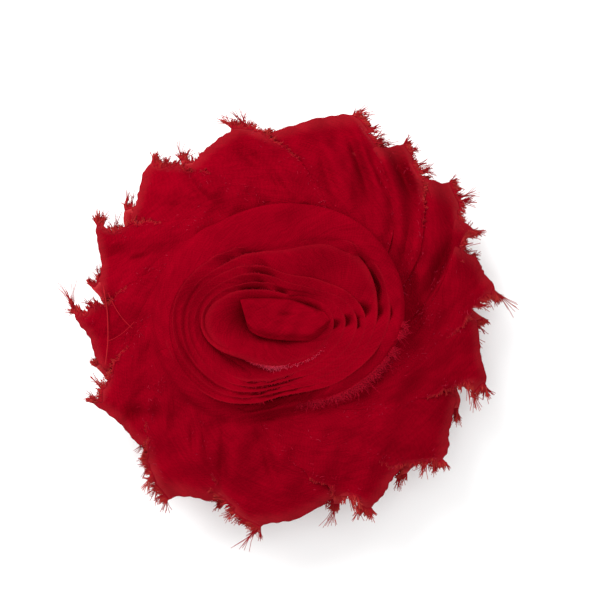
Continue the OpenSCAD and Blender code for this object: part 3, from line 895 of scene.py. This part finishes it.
def ribbon(width=9.5, thick=0.4, rib=0.62):
    """Grosgrain ribbon: one length from under the fixed jaw's middle, over its tip, to under its tail."""
    def under(x):
        return JAW_Z - thick / 2 + TAIL_SLOPE * max(x - JAW_BEND_X, 0)

    def bend(x, z, out, up):
        """Points round one end of the jaw, from (x, z) out and then up."""
        return [(x + out * math.sin(q), z + up * (1 - math.cos(q))) for q in (0.8, 1.6, 2.4)]

    start_x, end_x, tip_x, tail_x = HINGE[0] - 5, 22.0, -19.0, 27.0
    top = JAW_T + thick
    path = np.array([(start_x, under(start_x)), (tip_x, under(tip_x)),
                     *bend(tip_x, under(tip_x), -0.2, top / 2),
                     (tip_x, under(tip_x) + top), (JAW_BEND_X, under(0) + top), (tail_x, under(tail_x) + top),
                     *bend(tail_x, under(tail_x) + top, 0.2, -top / 2),
                     (tail_x, under(tail_x)), (end_x, under(end_x))])
    total = arc_length(path)[:, 0]
    d = np.linspace(0, total[-1], int(total[-1] / rib * 7))[:, None]
    centre = np.stack([np.interp(d[:, 0], total, path[:, i]) for i in (0, 1)], -1)
    direction = unit(np.gradient(centre, axis=0))
    normal = np.stack([-direction[:, 1], direction[:, 0]], -1)
    ridge = 0.5 + 0.5 * np.cos(2 * math.pi * d / rib)
    round_edge = np.linspace(-1, 1, 17)[None]
    y = width / 2 * np.sin(round_edge * math.pi / 2) * (1 - 0.012 * (1 - ridge))
    ends = smooth(0, 0.25, d) * smooth(0, 0.25, total[-1] - d)
    half = (thick / 2) * mix(0.72, 1.0, ridge) * (1 - 0.7 * np.abs(round_edge) ** 9) * mix(0.4, 1, ends)
    sides = []
    for sign in (1, -1):
        flat = centre[:, None] + sign * half[..., None] * normal[:, None]
        sides.append(np.stack([flat[..., 0], sign * y, flat[..., 1]], -1))
    points = np.concatenate(sides, 1)
    cloth = Piece()
    across = np.concatenate([y, -y], 1)
    cloth.grid(points, np.stack([np.broadcast_to(d, across.shape), across], -1), wrap=True)
    return cloth


def glue_squeeze():
    """Beads of hot-melt glue squeezed out along both sides of the strip between ribbon and felt."""
    low, high = box_mm("glue_strip")
    piece = Piece()
    x = np.linspace(low[0] + 0.3, high[0] - 0.3, 160)
    ends = np.sin(np.linspace(0.05, math.pi - 0.05, len(x))) ** 0.2
    for side in (low[1], high[1]):
        wander = side + 0.16 * ripple(x, 0 * x + side, 5, 91) - 0.1 * np.sign(side)
        fat = (0.17 + 0.09 * ripple(x, 0 * x + side, 3.2, 92)) * ends
        path = np.stack([x, wander, np.full_like(x, (low[2] + high[2]) / 2 - 0.02)], -1)
        piece.tubes(path[None], fat[None].clip(0.06, 0.24), sides=10)
    return piece


def spring_wire(coil_r=1.5, wire_r=0.25, leg=7.5, turns=4.5):
    """Torsion spring: a close coil round the pin with a leg under the fixed jaw and one on the moving jaw."""
    u = np.linspace(0, 1, 200)
    a = np.radians(90 + 360 * turns * u)
    coil = np.stack([HINGE[0] + coil_r * np.cos(a), COIL_HALF_W * np.linspace(-1, 1, len(u)),
                     HINGE[2] + coil_r * np.sin(a)], -1)
    out = np.linspace(0, 1, 14)[1:, None] * [leg, 0, 0]
    piece = Piece()
    piece.tubes(np.concatenate([(coil[0] + out)[::-1], coil, coil[-1] + out])[None], wire_r, sides=12)
    return piece


felt_obj = felt_disc().build("felt_disc", FELT, slot="felt", replaces=["felt_backing"])
felt_fuzz_obj = felt_fuzz().build("felt_fuzz", FELT_FUZZ, slot="felt")
net_obj = net_disc().build("net_strands", NET, slot="net", replaces=["net_backing"])
stitches().build("row_stitch_threads", THREAD, slot="thread", replaces=["row_stitches"])
ribbon_obj = ribbon().build("grosgrain_ribbon", GROSGRAIN, slot="ribbon", replaces=["ribbon_lining"])
glue_squeeze().build("glue_beads", GLUE, slot="glue")
spring = spring_wire().build("spring_coil", WIRE_STEEL, body=None, slot="spring_wire",
                             replaces=["torsion_spring"])
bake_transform(spring)

for node, material in {"fixed_jaw": STEEL, "moving_jaw": STEEL, "hinge_pin": PIN_STEEL,
                       "glue_strip": GLUE, "glue_pad": GLUE}.items():
    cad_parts[node].data.materials.clear()
    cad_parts[node].data.materials.append(material)


# -------------------- camera, light and floor, in metres

LIGHT_TARGET = Vector((0, 0, 0.01))
WORLD_STRENGTH = 0.75
FLOOR_HALF = 1.5
FLOOR_GREY = 0.96
VIEW_ELEVATION = 84
VIEW_TARGET = Vector((0.0022, 0.0030, 0.014))
VIEW_WIDTH = 0.0948              # width of the picture at the target
LENS, SENSOR = 150, 36           # in millimetres


def place_in_scene(name, data):
    obj = bpy.data.objects.new(name, data)
    bpy.context.scene.collection.objects.link(obj)
    return obj


def aim(obj, place, target):
    obj.location = place
    obj.rotation_euler = (target - Vector(place)).to_track_quat("-Z", "Y").to_euler()


def area_light(name, place, power, size):
    data = bpy.data.lights.new(name, "AREA")
    data.energy, data.shape, data.size = power, "DISK", size
    aim(place_in_scene(name, data), place, LIGHT_TARGET)


area_light("key_light", (-0.13, 0.15, 0.17), power=0.8, size=0.24)
area_light("fill_light", (0.1, -0.1, 0.7), power=2.3, size=0.7)
world = bpy.data.worlds.new("studio")
bpy.context.scene.world = world
world.use_nodes = True
Nodes(world.node_tree).put(world.node_tree.nodes["Background"], {0: (1, 1, 1, 1), 1: WORLD_STRENGTH})

floor_mesh = bpy.data.meshes.new("floor")
corners = [(x * FLOOR_HALF, y * FLOOR_HALF, 0) for x, y in ((-1, -1), (1, -1), (1, 1), (-1, 1))]
floor_mesh.from_pydata(corners, [], [(0, 1, 2, 3)])
floor = place_in_scene("floor", floor_mesh)
floor_material, floor_nodes, floor_shader = new_material("floor")
floor_nodes.put(floor_shader, {"Base Color": (FLOOR_GREY, FLOOR_GREY, FLOOR_GREY, 1), "Roughness": 0.9,
                               "Specular IOR Level": 0.0})
floor_mesh.materials.append(floor_material)

camera_data = bpy.data.cameras.new("camera")
camera_data.lens, camera_data.sensor_width, camera_data.clip_start = LENS, SENSOR, 0.01
camera = place_in_scene("camera", camera_data)
tilt = math.radians(VIEW_ELEVATION)
reach = LENS * VIEW_WIDTH / SENSOR
aim(camera, VIEW_TARGET + reach * Vector((0, -math.cos(tilt), math.sin(tilt))), VIEW_TARGET)
bpy.context.scene.camera = camera
bpy.context.scene.view_settings.view_transform = "Standard"
